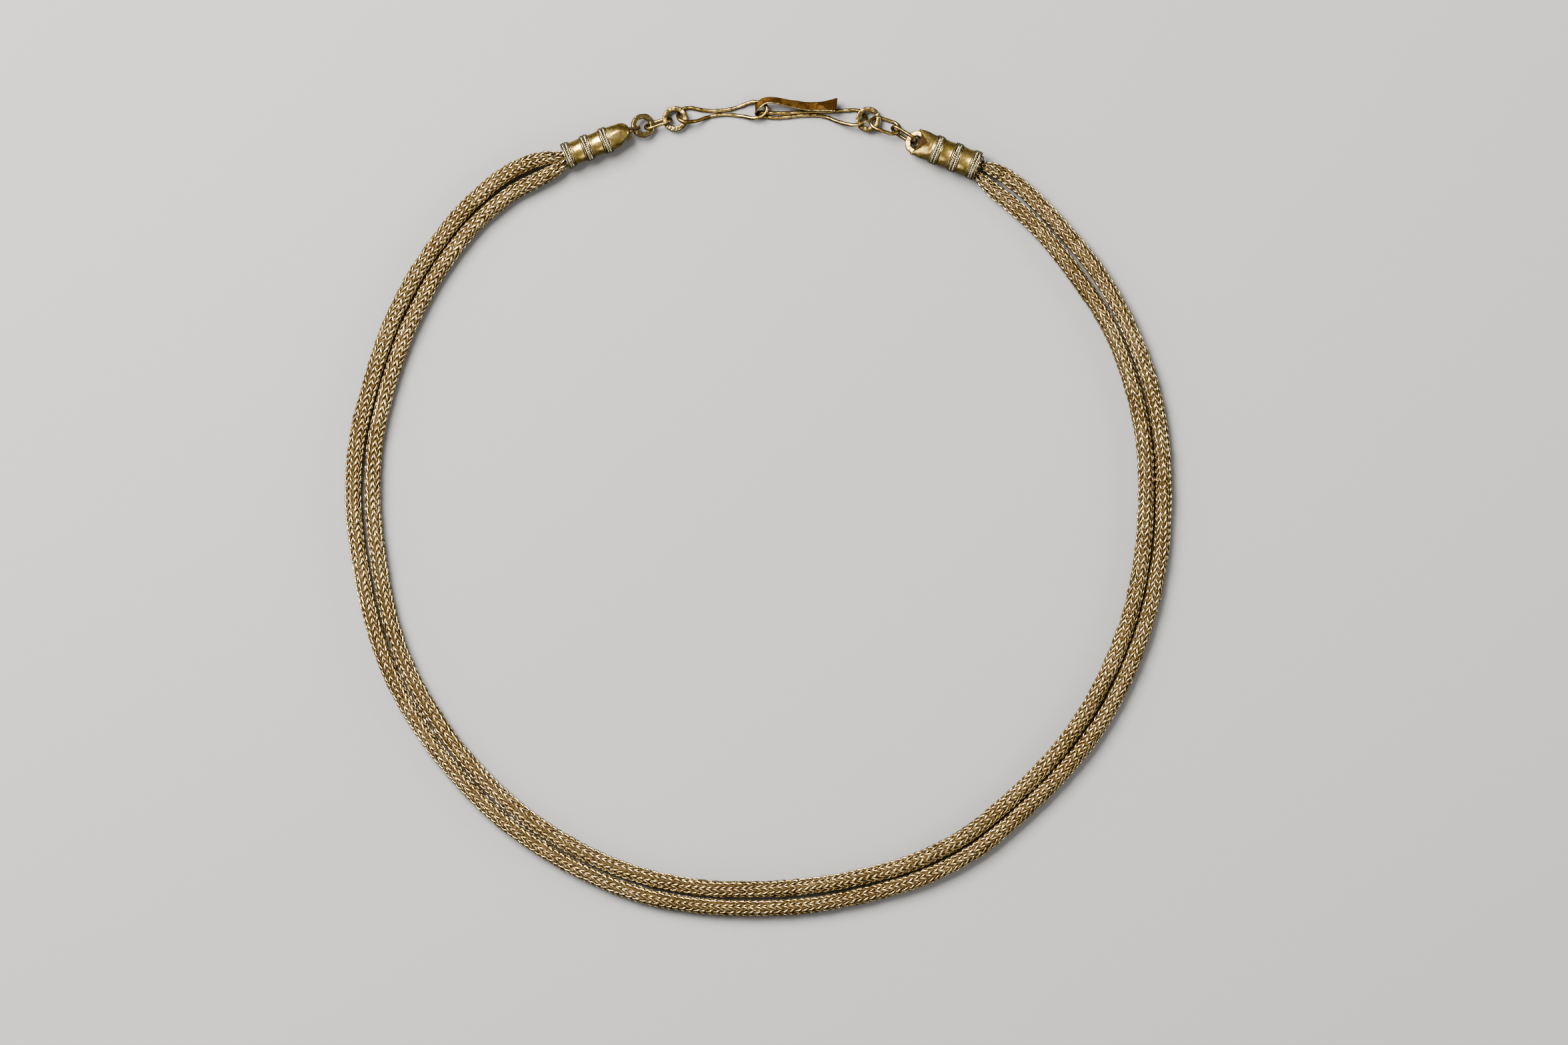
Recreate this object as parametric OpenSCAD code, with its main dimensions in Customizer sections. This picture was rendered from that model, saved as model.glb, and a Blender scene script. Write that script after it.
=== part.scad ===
// Mesh necklace: two woven gold chains side by side, drawn into two banded end caps
// and closed by rings, small links and a hook and eye. It lies flat, in millimetres,
// with +X to the right as seen from above and +Y towards the clasp.

/* [Woven chains] */
// Width of each woven chain
chain_d = 2.7; // [2.5:0.05:2.7]
// Sides of each chain's tube
chain_sides = 8; // [8:2:12]

/* [End caps] */
// Radius of the left cap over its bands
left_band_r = 2.25; // [2.2:0.05:2.3]
// Radius of the left cap at the waist of its hollow fields
left_waist_r = 1.87; // [1.85:0.01:1.9]
// Radius of the right cap over its bands
right_band_r = 2.5; // [2.45:0.05:2.55]
// Radius of the right cap at the waist of its hollow fields
right_waist_r = 2.15; // [2.1:0.01:2.18]
// Thickness of the caps' sheet
sheet_t = 0.3; // [0.25:0.05:0.35]
// Distance from one band to the next
band_pitch = 3.3; // [3.2:0.05:3.4]
// Thickness of a band's two heavy wires
band_wire_d = 0.44; // [0.4:0.02:0.46]
// Thickness of the fine wires that edge a band
edge_wire_d = 0.2; // [0.16:0.02:0.22]

/* [Rings and links] */
// Outside diameter of the ring in the left cap's loop
cap_ring_d = 3.96; // [3.9:0.02:4]
// Outside diameter of the two large rings
large_ring_d = 4.18; // [4.1:0.02:4.2]
// Width of a ring's flat band
ring_band = 0.84; // [0.78:0.02:0.84]
// Thickness of a ring's flat band
ring_t = 0.7; // [0.6:0.02:0.72]
// Wire of the two small links
small_wire_d = 0.45; // [0.35:0.05:0.45]
// Wire of the oval link
oval_wire_d = 0.5; // [0.4:0.05:0.5]

/* [Hook and eye] */
// Wire of the hook and of the eye
clasp_wire_d = 0.62; // [0.5:0.02:0.62]
// Thickness of the hook's flat strap
strap_t = 0.28; // [0.2:0.02:0.3]

/* [Hidden] */
$fn = 48;

gold = "#a88a50";
dark_gold = "#8c7434";
pale_gold = "#a38c5c";
silver = "#9a9a90";

// Centre that the chains' bearings are measured about, clockwise from +Y
loop_centre = [-0.07, -3.27];
// Route of both chains: bearing, outer chain's radius, inner chain's radius,
// height of their axes above the resting height, and girth as a share of the full width
ROUTE = [
  [30.9, 70, 68.75, 1.15, 0.33],
  [32.2, 70.15, 68.2, 0.95, 0.55],
  [33.3, 70.5, 68, 0.65, 0.8],
  [35.2, 70.8, 67.7, 0.25, 0.95],
  [38.5, 70.75, 67.6, 0, 1],
  [44, 70.3, 67.4, 0, 1],
  [52.5, 70, 66.8, 0, 1],
  [61, 69.5, 66.6, 0, 1],
  [69.5, 68.85, 65.9, 0, 1],
  [78, 68, 65.1, 0, 1],
  [86.5, 67, 64.1, 0, 1],
  [95, 66.4, 63.5, 0, 1],
  [103.5, 65.9, 63.05, 0, 1],
  [112, 65.45, 62.5, 0, 1],
  [120.5, 65.05, 62.1, 0, 1],
  [129, 64.5, 61.65, 0, 1],
  [137.5, 64.15, 61.3, 0, 1],
  [146, 64.35, 61.4, 0, 1],
  [154.5, 64, 61, 0, 1],
  [163, 63.25, 60.25, 0, 1],
  [171.5, 63, 59.85, 0, 1],
  [180, 62.9, 59.8, 0, 1],
  [188.5, 63.2, 60.2, 0, 1],
  [197, 63.65, 60.6, 0, 1],
  [205.5, 63.75, 60.85, 0, 1],
  [214, 63.9, 61.05, 0, 1],
  [222.5, 64.2, 61.3, 0, 1],
  [231, 64.35, 61.5, 0, 1],
  [239.5, 64.75, 61.85, 0, 1],
  [248, 65.2, 62.3, 0, 1],
  [256.5, 65.45, 62.55, 0, 1],
  [265, 65.85, 62.75, 0, 1],
  [273.5, 66.85, 63.6, 0, 1],
  [282, 67.6, 64.55, 0, 1],
  [290.5, 68.05, 65.2, 0, 1],
  [299, 69.15, 66.2, 0, 1],
  [307.5, 70.15, 67.25, 0, 1],
  [316, 71.1, 68.2, 0, 1],
  [323, 71.5, 68.35, 0.05, 1],
  [327.5, 71, 67.75, 0.25, 0.96],
  [329.9, 70.15, 67.6, 0.5, 0.84],
  [331.4, 69.4, 67.7, 0.75, 0.6],
  [332.9, 69.1, 68, 0.9, 0.33],
];

// Mouth centres of the caps and the directions that their noses point in
left_mouth = [-31.9, 57.7];
left_turn = 21.8;
right_mouth = [36.15, 56.1];
right_turn = 158.1;
// Places along a cap, from its mouth
first_band_x = 0.65;
field_half = 0.85;
nose_x = 2 * band_pitch + 1.45;
lip_rise = 0.08;
// How far a band's fine wires lie inside its heavy ones
edge_drop = 0.05;

// Nose of the left cap: distance along the cap, radius
LEFT_NOSE = [[8.1, 1.93], [9, 1.87], [10, 1.83], [10.6, 1.76], [11.1, 1.5], [11.4, 1.15], [11.55, 0.85]];
left_hollow_end = 10.2;
left_hollow_end_r = 0.7;
dent_from = [9.2, -1.9];
dent_turn = 37;

// Loop on the left nose that holds the cap ring
loop_x = 12.45;
loop_drop = 0.35;
loop_hole = [1.36, 1.2];
loop_t = 0.21;
loop_w = 0.8;
loop_root = 0.25;

// Flattened nose of the right cap, and the ring eye gripped in it
nose_tip_x = 11.05;
nose_tip = [0.1, 4.5, 1];
nose_drop = 0.6;
eye_centre = [10.67, 0.1, -0.75];
eye_tilt = 15;
eye_d = 4.06;
eye_hole_d = 2.1;
eye_t = 0.6;
mouth_cut_x = 11.7;
mouth_cut_r = 1.15;
TEAR = [[11.4, -2], [9, -0.4], [11.4, 2]];
tear_floor = -0.35;

// Rings and links: centre, then turns about X, Y and Z
CAP_RING = [[-19, 62.85, 1.45], [0, 17, 21.8]];
LEFT_LARGE_RING = [[-13.7, 64, 1.06], [0, -3, 0]];
RIGHT_LARGE_RING = [[18.15, 63.9, 1.07], [0, 0, 0]];
LEFT_SMALL_LINK = [[-16.55, 63.25, 1.03], [114, 0, 18.5]];
RIGHT_OVAL_LINK = [[20.92, 62.87, 1.11], [-41, 0, -18]];
RIGHT_SMALL_LINK = [[24, 61.37, 1.18], [61.5, -8, -32]];
left_small_size = [4.8, 2.2];
oval_size = [5.35, 3.15];
right_small_size = [4.95, 2.15];

// Route of the eye's wire, from its left end along the lower side and back
EYE = [
  [-13.2, 64.3, 1.2], [-13, 63.85, 1.65], [-12.5, 63.55, 1.92], [-11.85, 63.45, 1.92],
  [-10.95, 63.5, 1.6], [-9.95, 63.7, 1.1], [-9.1, 64, 0.7], [-8, 64.4, 0.4], [-6.9, 64.6, 0.34],
  [-5.8, 64.7, 0.34], [-4.7, 64.7, 0.34], [-3.6, 64.6, 0.34], [-2.5, 64.45, 0.5], [-1.4, 64.2, 0.9],
  [-0.4, 64.15, 1.15], [0.5, 64.35, 1.18], [1.15, 64.9, 1.16], [1.4, 65.55, 1.12], [1.15, 66.25, 1.05],
  [0.4, 66.75, 0.88], [-0.65, 66.85, 0.7], [-1.75, 66.6, 0.55], [-2.65, 66.25, 0.4], [-3.55, 65.9, 0.34],
  [-4.65, 65.6, 0.34], [-5.75, 65.45, 0.34], [-6.85, 65.35, 0.34], [-7.95, 65.35, 0.34],
  [-9.05, 65.45, 0.34], [-10.1, 65.65, 0.34], [-11.1, 65.85, 0.34], [-11.95, 65.8, 0.34],
  [-12.6, 65.5, 0.34], [-12.95, 65.1, 0.34], [-13.2, 64.7, 0.65],
];

// Route of the hook's wire, from the strap's root along the lower side and back
HOOK = [
  [0.15, 64.5, 0.34], [1.35, 64.3, 0.34], [2.45, 64.2, 0.34], [3.55, 64.2, 0.34], [4.65, 64.3, 0.34],
  [5.75, 64.4, 0.34], [6.85, 64.55, 0.34], [7.95, 64.6, 0.34], [9.05, 64.6, 0.34], [10.15, 64.55, 0.34],
  [11.05, 64.35, 0.34], [11.9, 64.05, 0.45], [12.9, 63.65, 0.8], [13.85, 63.3, 1.25],
  [14.9, 63.05, 1.65], [15.8, 62.95, 1.85], [16.6, 63, 1.85], [17.4, 63.4, 1.7], [17.7, 63.95, 1.25],
  [17.6, 64.4, 0.75], [17.35, 64.75, 0.34], [16.8, 65.25, 0.34], [15.8, 65.5, 0.34], [14.6, 65.4, 0.34],
  [13.5, 65.35, 0.34], [12.4, 65.3, 0.34], [11.3, 65.25, 0.34], [10.2, 65.25, 0.34], [9.1, 65.25, 0.34],
  [8, 65.2, 0.34], [6.9, 65.15, 0.34], [5.8, 65.05, 0.34], [4.7, 64.95, 0.34], [3.6, 64.95, 0.34],
  [2.5, 65, 0.34], [1.4, 65, 0.34], [0.15, 65.05, 0.34],
];

// Hook's strap, from its thick root under the eye to its curled tip: place, width, lean,
// and how far its thickness is on the way to the root's
STRAP = [
  [[0.5, 64.78, 0.36], 1.36, 0, 1], [[0.1, 64.78, 0.36], 1.36, 0, 1], [[-0.15, 64.98, 0.52], 1, 0, 0.3],
  [[-0.35, 65.3, 0.9], 1.1, 0, 0], [[-0.3, 65.65, 1.35], 1.15, 0, 0], [[0, 66.1, 1.7], 1.15, 3, 0],
  [[0.45, 66.55, 1.92], 1.2, 8, 0], [[1, 66.9, 2], 1.15, 15, 0], [[1.9, 67.05, 2.02], 1.1, 20, 0],
  [[3.1, 66.95, 1.97], 1.15, 22, 0], [[4.2, 66.7, 1.9], 1.25, 22, 0], [[5.3, 66.45, 1.8], 1.35, 22, 0],
  [[6.35, 66.3, 1.7], 1.45, 22, 0], [[7.45, 66.1, 1.6], 1.5, 22, 0], [[8.55, 66, 1.52], 1.6, 22, 0],
  [[9.65, 66, 1.48], 1.65, 22, 0], [[10.75, 66.05, 1.47], 1.75, 22, 0], [[11.65, 66.15, 1.5], 1.95, 20, 0],
  [[12.25, 66.2, 1.62], 2.15, 15, 0], [[12.6, 66.25, 1.95], 2.25, 10, 0], [[12.8, 66.25, 2.4], 2.3, 8, 0],
];
wire_sides = 8;
strap_chamfer = 0.08;
root_t = clasp_wire_d + 0.06;

// Pins that hold the chains' ends: the left is straight, the right bows out of the mouth
left_pin = [1.15, 1.25, 0.12];
right_pin_r = 1.85;
right_pin_d = 0.18;
right_pin_drop = 1.3;
right_pin_x = 0.66;

function unit(v) = v / norm(v);
function pick(p, i, loop) = loop ? p[(i + len(p)) % len(p)] : p[max(0, min(len(p) - 1, i))];
function blend(a, b, c, d, t) = 0.5 * (2 * b + (c - a) * t + (2 * a - 5 * b + 4 * c - d) * t * t
  + (3 * b - a - 3 * c + d) * t * t * t);
// Points of a smooth curve through p, with an even number of steps from each point to the next
function smooth(p, steps, loop) = [
  for (i = [0:len(p) - (loop ? 1 : 2)], s = [0:steps - 1])
    blend(pick(p, i - 1, loop), pick(p, i, loop), pick(p, i + 1, loop), pick(p, i + 2, loop), s / steps),
  if (!loop) p[len(p) - 1]
];
function along(path, i, loop) = unit(pick(path, i + 1, loop) - pick(path, i - 1, loop));
// Regular ring of points about a path's point, with a flat side down
function round_ring(path, i, r, sides, loop) = let (
    forward = along(path, i, loop),
    side = unit(cross([0, 0, 1], forward)),
    up = cross(forward, side),
    corner_r = r / cos(180 / sides)
  )
  [for (k = [0:sides - 1])
    path[i] + corner_r * (cos((k + 0.5) * 360 / sides) * side + sin((k + 0.5) * 360 / sides) * up)];
// Chamfered flat ring of points, width w and thickness t, leaning about the path
function flat_ring(path, i, w, t, lean) = let (
    forward = along(path, i, false),
    level = unit([0, 1, 0] - forward[1] * forward),
    face = cross(forward, level),
    side = cos(lean) * level - sin(lean) * face,
    up = cross(forward, side),
    a = w / 2,
    b = t / 2,
    c = strap_chamfer
  )
  [for (q = [[a, c - b], [a, b - c], [a - c, b], [c - a, b], [-a, b - c], [-a, c - b], [c - a, -b], [a - c, -b]])
    path[i] + q[0] * side + q[1] * up];

// Closed solid over a list of equal rings of points
module skin(rings, loop = false) {
  n = len(rings[0]);
  m = len(rings);
  walls = [
    for (i = [0:m - (loop ? 1 : 2)], k = [0:n - 1])
      let (j = (i + 1) % m, l = (k + 1) % n)
      [i * n + k, j * n + k, j * n + l, i * n + l]
  ];
  ends = loop ? [] : [[for (k = [0:n - 1]) k], [for (k = [n - 1:-1:0]) (m - 1) * n + k]];
  polyhedron([for (ring = rings) each ring], concat(walls, ends));
}

function chain_path(column) = [
  for (row = ROUTE)
    [loop_centre[0] + row[column] * sin(row[0]), loop_centre[1] + row[column] * cos(row[0]), chain_d / 2 + row[3]]
];
module chain(column) {
  path = chain_path(column);
  skin([for (i = [0:len(path) - 1]) round_ring(path, i, ROUTE[i][4] * chain_d / 2, chain_sides, false)]);
}
module outer_chain() {
  color(gold) chain(1);
}
module inner_chain() {
  color(gold) chain(2);
}

// Stands a shape that is turned about Z along the cap's own X
module lay_along() {
  rotate([0, 90, 0]) children();
}
module hoop(x, r, wire_d) {
  lay_along() translate([0, 0, x]) rotate_extrude() translate([r - wire_d / 2, 0]) circle(d = wire_d, $fn = 16);
}
// Two heavy wires side by side between two fine ones, all run together a little over a sleeve
module band(x, r) {
  lay_along() translate([0, 0, x - band_wire_d / 2]) cylinder(r = r - band_wire_d / 2, h = band_wire_d);
  for (side = [-1, 1]) {
    hoop(x + side * (band_wire_d / 2 - 0.01), r, band_wire_d);
    hoop(x + side * (band_wire_d + 0.06), r - edge_drop, edge_wire_d);
  }
}
// Hollow-sided field from one lip to the next, as an outline for turning
function field_outline(x, waist_r) = [
  for (k = [-4:4])
    let (s = k / 4)
    [waist_r + lip_rise * s * s, x + s * field_half]
];
module cap_fields(waist_r) {
  lay_along() rotate_extrude() polygon(concat(
    [[0, 0.05], [waist_r, 0.05]],
    field_outline(first_band_x + 0.5 * band_pitch, waist_r),
    field_outline(first_band_x + 1.5 * band_pitch, waist_r),
    [[waist_r, nose_x], [0, nose_x]]
  ));
}
module cap_bands(band_r) {
  for (k = [0:2]) band(first_band_x + k * band_pitch, band_r);
}

module left_nose() {
  difference() {
    lay_along() rotate_extrude() polygon(concat(
      [[0, nose_x - 0.1], [LEFT_NOSE[0][1], nose_x - 0.1]],
      [for (p = LEFT_NOSE) [p[1], p[0]]],
      [[0, LEFT_NOSE[6][0]]]
    ));
    // Flat dent on the lower side of the tip
    translate([dent_from[0], dent_from[1], -3]) rotate([0, 0, dent_turn]) translate([-2, -4, 0]) cube([8, 4, 6]);
  }
}
module left_loop() {
  hole = loop_hole;
  translate([loop_x, loop_w / 2, -loop_drop]) rotate([90, 0, 0]) difference() {
    translate([-hole[0] / 2 - loop_t - loop_root, -hole[1] / 2 - loop_t, 0])
      cube([hole[0] + 2 * loop_t + loop_root, hole[1] + 2 * loop_t, loop_w]);
    translate([-hole[0] / 2, -hole[1] / 2, -1]) cube([hole[0], hole[1], loop_w + 2]);
  }
}
module left_cap() {
  color(dark_gold) translate([left_mouth[0], left_mouth[1], left_band_r]) rotate([0, 0, left_turn]) {
    difference() {
      union() {
        cap_fields(left_waist_r);
        cap_bands(left_band_r);
        left_nose();
      }
      lay_along() rotate_extrude() polygon([
        [0, -1], [left_waist_r - sheet_t, -1], [left_waist_r - sheet_t, 8.6],
        [left_hollow_end_r, left_hollow_end], [0, left_hollow_end]
      ]);
    }
    left_loop();
  }
}

module right_nose() {
  hull() {
    lay_along() translate([0, 0, nose_x - 0.1]) cylinder(r = right_waist_r + lip_rise, h = 0.2, $fn = 32);
    translate([nose_tip_x - nose_tip[0] / 2, -nose_tip[1] / 2, -nose_drop - nose_tip[2] / 2]) cube(nose_tip);
  }
}
module right_ring_eye() {
  translate(eye_centre) rotate([0, eye_tilt, 0]) ring_body(eye_d, eye_hole_d, eye_t);
}
module right_cap() {
  color(dark_gold) translate([right_mouth[0], right_mouth[1], right_band_r]) rotate([0, 0, right_turn]) {
    difference() {
      union() {
        cap_fields(right_waist_r);
        cap_bands(right_band_r);
        right_nose();
      }
      lay_along() rotate_extrude() polygon([
        [0, -1], [right_waist_r - sheet_t, -1], [right_waist_r - sheet_t, nose_x], [0.6, 9.2], [0, 9.2]
      ]);
      translate([0, 0, tear_floor]) linear_extrude(4) polygon(TEAR);
      translate([mouth_cut_x, 0, -4]) cylinder(r = mouth_cut_r, h = 8);
    }
    right_ring_eye();
  }
}

// Flat ring with its four edges taken off
module ring_body(d, hole_d, t) {
  a = hole_d / 2;
  b = d / 2;
  c = 0.14;
  h = t / 2;
  rotate_extrude() polygon([
    [a, c - h], [a + c, -h], [b - c, -h], [b, c - h], [b, h - c], [b - c, h], [a + c, h], [a, h - c]
  ]);
}
module place(at) {
  translate(at[0]) rotate(at[1]) children();
}
// Round-wire link, straight in the middle and half-round at both ends
module oval_body(size, wire_d) {
  straight = size[0] - size[1];
  bend_r = (size[1] - wire_d) / 2;
  for (side = [0, 1]) rotate([0, 0, 180 * side]) {
    translate([straight / 2, 0, 0]) rotate([0, 0, -90]) rotate_extrude(angle = 180)
      translate([bend_r, 0]) circle(d = wire_d, $fn = 16);
    translate([-straight / 2, bend_r, 0]) rotate([0, 90, 0]) cylinder(d = wire_d, h = straight, $fn = 16);
  }
}
module left_cap_ring() {
  color(pale_gold) place(CAP_RING) ring_body(cap_ring_d, cap_ring_d - 2 * ring_band, ring_t);
}
module left_large_ring() {
  color(pale_gold) place(LEFT_LARGE_RING) ring_body(large_ring_d, large_ring_d - 2 * ring_band, ring_t);
}
module right_large_ring() {
  color(pale_gold) place(RIGHT_LARGE_RING) ring_body(large_ring_d, large_ring_d - 2 * ring_band, ring_t);
}
module left_small_link() {
  color(gold) place(LEFT_SMALL_LINK) oval_body(left_small_size, small_wire_d);
}
module right_oval_link() {
  color(gold) place(RIGHT_OVAL_LINK) oval_body(oval_size, oval_wire_d);
}
module right_small_link() {
  color(gold) place(RIGHT_SMALL_LINK) oval_body(right_small_size, small_wire_d);
}

module wire(points, loop) {
  path = smooth(points, 2, loop);
  skin([for (i = [0:len(path) - 1]) round_ring(path, i, clasp_wire_d / 2, wire_sides, loop)], loop);
}
module eye_link() {
  color(gold) wire(EYE, true);
}
module hook() {
  path = smooth([for (row = STRAP) row[0]], 2, false);
  sizes = smooth([for (row = STRAP) [row[1], row[2], strap_t + row[3] * (root_t - strap_t)]], 2, false);
  // The strap is soldered over both ends of the wire, so the two are made one mesh, with no change of size
  color(gold) resize([0, 0, 0]) {
    wire(HOOK, false);
    skin([for (i = [0:len(path) - 1]) flat_ring(path, i, sizes[i][0], sizes[i][2], sizes[i][1])]);
  }
}

module left_end_pin() {
  color(silver) translate([left_mouth[0], left_mouth[1], left_band_r]) rotate([0, 0, left_turn])
    translate([left_pin[0], left_pin[1], 0]) rotate([90, 0, 0]) cylinder(r = left_pin[2], h = 2 * left_pin[1]);
}
module right_end_pin() {
  color(silver) translate([right_mouth[0], right_mouth[1], right_band_r]) rotate([0, 0, right_turn])
    translate([right_pin_x, 0, -right_pin_drop]) rotate([0, 0, 115]) rotate_extrude(angle = 130)
      translate([right_pin_r, 0]) circle(d = right_pin_d, $fn = 16);
}

outer_chain();
inner_chain();
left_cap();
right_cap();
left_end_pin();
right_end_pin();
left_cap_ring();
left_small_link();
left_large_ring();
eye_link();
hook();
right_large_ring();
right_oval_link();
right_small_link();
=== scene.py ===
"""Looks of the mesh necklace: woven chains, end caps, rings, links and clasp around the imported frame."""

import logging
from dataclasses import dataclass
from enum import Enum

import bpy
import numpy as np
from mathutils import Euler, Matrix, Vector


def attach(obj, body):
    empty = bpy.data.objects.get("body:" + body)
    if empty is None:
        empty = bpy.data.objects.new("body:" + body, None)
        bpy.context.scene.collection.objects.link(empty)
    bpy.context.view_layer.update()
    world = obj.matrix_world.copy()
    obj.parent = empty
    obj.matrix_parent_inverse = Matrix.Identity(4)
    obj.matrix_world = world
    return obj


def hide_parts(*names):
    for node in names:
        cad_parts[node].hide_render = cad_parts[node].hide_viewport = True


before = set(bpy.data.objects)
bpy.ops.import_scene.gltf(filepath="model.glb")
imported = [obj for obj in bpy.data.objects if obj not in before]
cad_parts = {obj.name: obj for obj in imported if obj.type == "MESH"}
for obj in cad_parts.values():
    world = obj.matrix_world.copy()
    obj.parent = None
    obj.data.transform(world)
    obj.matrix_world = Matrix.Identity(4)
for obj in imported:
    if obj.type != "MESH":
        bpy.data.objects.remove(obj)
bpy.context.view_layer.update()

log = logging.getLogger("necklace")

# Lengths in this file are millimetres, and a mesh is written in metres
MM = 0.001
PHOTO_SIZE = (2352, 1568)
MM_PER_PIXEL = 0.11
# Pixel of the photograph that lies at the frame's origin
ORIGIN_PIXEL = (1137.5, 760.5)

Array = np.ndarray
Triple = tuple[float, float, float]

# The centre that the chains' bearings are measured about, clockwise from +Y
LOOP_CENTRE = (-0.07, -3.27)
# Radii of the outer and the inner chain along their flat stretch, and the bearings that they lie at
FLAT_RADII = (
    (70.3, 67.4), (70, 66.8), (69.5, 66.6), (68.85, 65.9), (68, 65.1), (67, 64.1), (66.4, 63.5),
    (65.9, 63.05), (65.45, 62.5), (65.05, 62.1), (64.5, 61.65), (64.15, 61.3), (64.35, 61.4), (64, 61),
    (63.25, 60.25), (63, 59.85), (62.9, 59.8), (63.2, 60.2), (63.65, 60.6), (63.75, 60.85), (63.9, 61.05),
    (64.2, 61.3), (64.35, 61.5), (64.75, 61.85), (65.2, 62.3), (65.45, 62.55), (65.85, 62.75),
    (66.85, 63.6), (67.6, 64.55), (68.05, 65.2), (69.15, 66.2), (70.15, 67.25), (71.1, 68.2),
)
FLAT_BEARINGS = np.linspace(44, 316, len(FLAT_RADII))
# Bearing, outer chain's radius, inner chain's radius, height of their axes above rest, share of full girth
ROUTE = (
    (30.9, 70, 68.75, 1.15, 0.33), (32.2, 70.15, 68.2, 0.95, 0.55), (33.3, 70.5, 68, 0.65, 0.8),
    (35.2, 70.8, 67.7, 0.25, 0.95), (38.5, 70.75, 67.6, 0, 1),
    *((bearing, *radii, 0, 1) for bearing, radii in zip(FLAT_BEARINGS, FLAT_RADII)),
    (323, 71.5, 68.35, 0.05, 1), (327.5, 71, 67.75, 0.25, 0.96), (329.9, 70.15, 67.6, 0.5, 0.84),
    (331.4, 69.4, 67.7, 0.75, 0.6), (332.9, 69.1, 68, 0.9, 0.33),
)

# Route of the eye's wire, from its left end along the lower side and back. Where a row has no height,
# the wire lies at rest.
EYE_ROUTE = (
    (-13.2, 64.3, 1.2), (-13, 63.85, 1.65), (-12.5, 63.55, 1.92), (-11.85, 63.45, 1.92),
    (-10.95, 63.5, 1.6), (-9.95, 63.7, 1.1), (-9.1, 64, 0.7), (-8, 64.4, 0.4), (-6.9, 64.6), (-5.8, 64.7),
    (-4.7, 64.7), (-3.6, 64.6), (-2.5, 64.45, 0.5), (-1.4, 64.2, 0.9), (-0.4, 64.15, 1.15),
    (0.5, 64.35, 1.18), (1.15, 64.9, 1.16), (1.4, 65.55, 1.12), (1.15, 66.25, 1.05), (0.4, 66.75, 0.88),
    (-0.65, 66.85, 0.7), (-1.75, 66.6, 0.55), (-2.65, 66.25, 0.4), (-3.55, 65.9), (-4.65, 65.6),
    (-5.75, 65.45), (-6.85, 65.35), (-7.95, 65.35), (-9.05, 65.45), (-10.1, 65.65), (-11.1, 65.85),
    (-11.95, 65.8), (-12.6, 65.5), (-12.95, 65.1), (-13.2, 64.7, 0.65),
)
# Route of the hook's wire, from the strap's root along the lower side and back
HOOK_ROUTE = (
    (0.15, 64.5), (1.35, 64.3), (2.45, 64.2), (3.55, 64.2), (4.65, 64.3), (5.75, 64.4), (6.85, 64.55),
    (7.95, 64.6), (9.05, 64.6), (10.15, 64.55), (11.05, 64.35), (11.9, 64.05, 0.45), (12.9, 63.65, 0.8),
    (13.85, 63.3, 1.25), (14.9, 63.05, 1.65), (15.8, 62.95, 1.85), (16.6, 63, 1.85), (17.4, 63.4, 1.7),
    (17.7, 63.95, 1.25), (17.6, 64.4, 0.75), (17.35, 64.75), (16.8, 65.25), (15.8, 65.5), (14.6, 65.4),
    (13.5, 65.35), (12.4, 65.3), (11.3, 65.25), (10.2, 65.25), (9.1, 65.25), (8, 65.2), (6.9, 65.15),
    (5.8, 65.05), (4.7, 64.95), (3.6, 64.95), (2.5, 65), (1.4, 65), (0.15, 65.05),
)
# Hook's strap, from its root under the eye to its curled tip: x, y, z, width, lean in degrees
STRAP_ROUTE = (
    (0.5, 64.78, 0.36, 1.3, 0), (0.1, 64.78, 0.36, 1.3, 0), (-0.15, 64.98, 0.52, 1, 0),
    (-0.35, 65.3, 0.9, 1.1, 0), (-0.3, 65.65, 1.35, 1.15, 0), (0, 66.1, 1.7, 1.15, 3),
    (0.45, 66.55, 1.92, 1.2, 8), (1, 66.9, 2, 1.15, 15), (1.9, 67.05, 2.02, 1.1, 20),
    (3.1, 66.95, 1.97, 1.15, 22), (4.2, 66.7, 1.9, 1.25, 22), (5.3, 66.45, 1.8, 1.35, 22),
    (6.35, 66.3, 1.7, 1.45, 22), (7.45, 66.1, 1.6, 1.5, 22), (8.55, 66, 1.52, 1.6, 22),
    (9.65, 66, 1.48, 1.65, 22), (10.75, 66.05, 1.47, 1.75, 22), (11.65, 66.15, 1.5, 1.95, 20),
    (12.25, 66.2, 1.62, 2.15, 15), (12.6, 66.25, 1.95, 2.25, 10), (12.8, 66.25, 2.4, 2.3, 8),
)
# Pits in the left large ring's face: bearing in degrees, distance from the middle and radius of each
LARGE_RING_PITS = (
    (97, 1.72, 0.13), (106, 1.6, 0.1), (86, 1.85, 0.1), (-128, 1.68, 0.17), (-112, 1.78, 0.15),
    (-99, 1.55, 0.11), (-88, 1.72, 0.16), (-71, 1.66, 0.14), (-60, 1.82, 0.1), (-140, 1.85, 0.1),
)


def unit(vectors: Array) -> Array:
    """Returns vectors brought to length one."""
    return vectors / np.maximum(np.linalg.norm(vectors, axis=-1, keepdims=True), 1e-9)


def ease(value: Array, low: float, high: float) -> Array:
    """Returns a smooth step from 0 at low to 1 at high."""
    t = np.clip((value - low) / (high - low), 0, 1)
    return t * t * (3 - 2 * t)


def turn_steps(count: int) -> Array:
    """Returns that many angles, evenly round a full turn."""
    return 2 * np.pi * np.arange(count) / count


def around_x(x: Array, radius: Array, angle: Array) -> Array:
    """Returns places at a distance along X, a radius from it and an angle about it."""
    return np.stack(np.broadcast_arrays(x, radius * np.cos(angle), radius * np.sin(angle)), -1)


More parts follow.
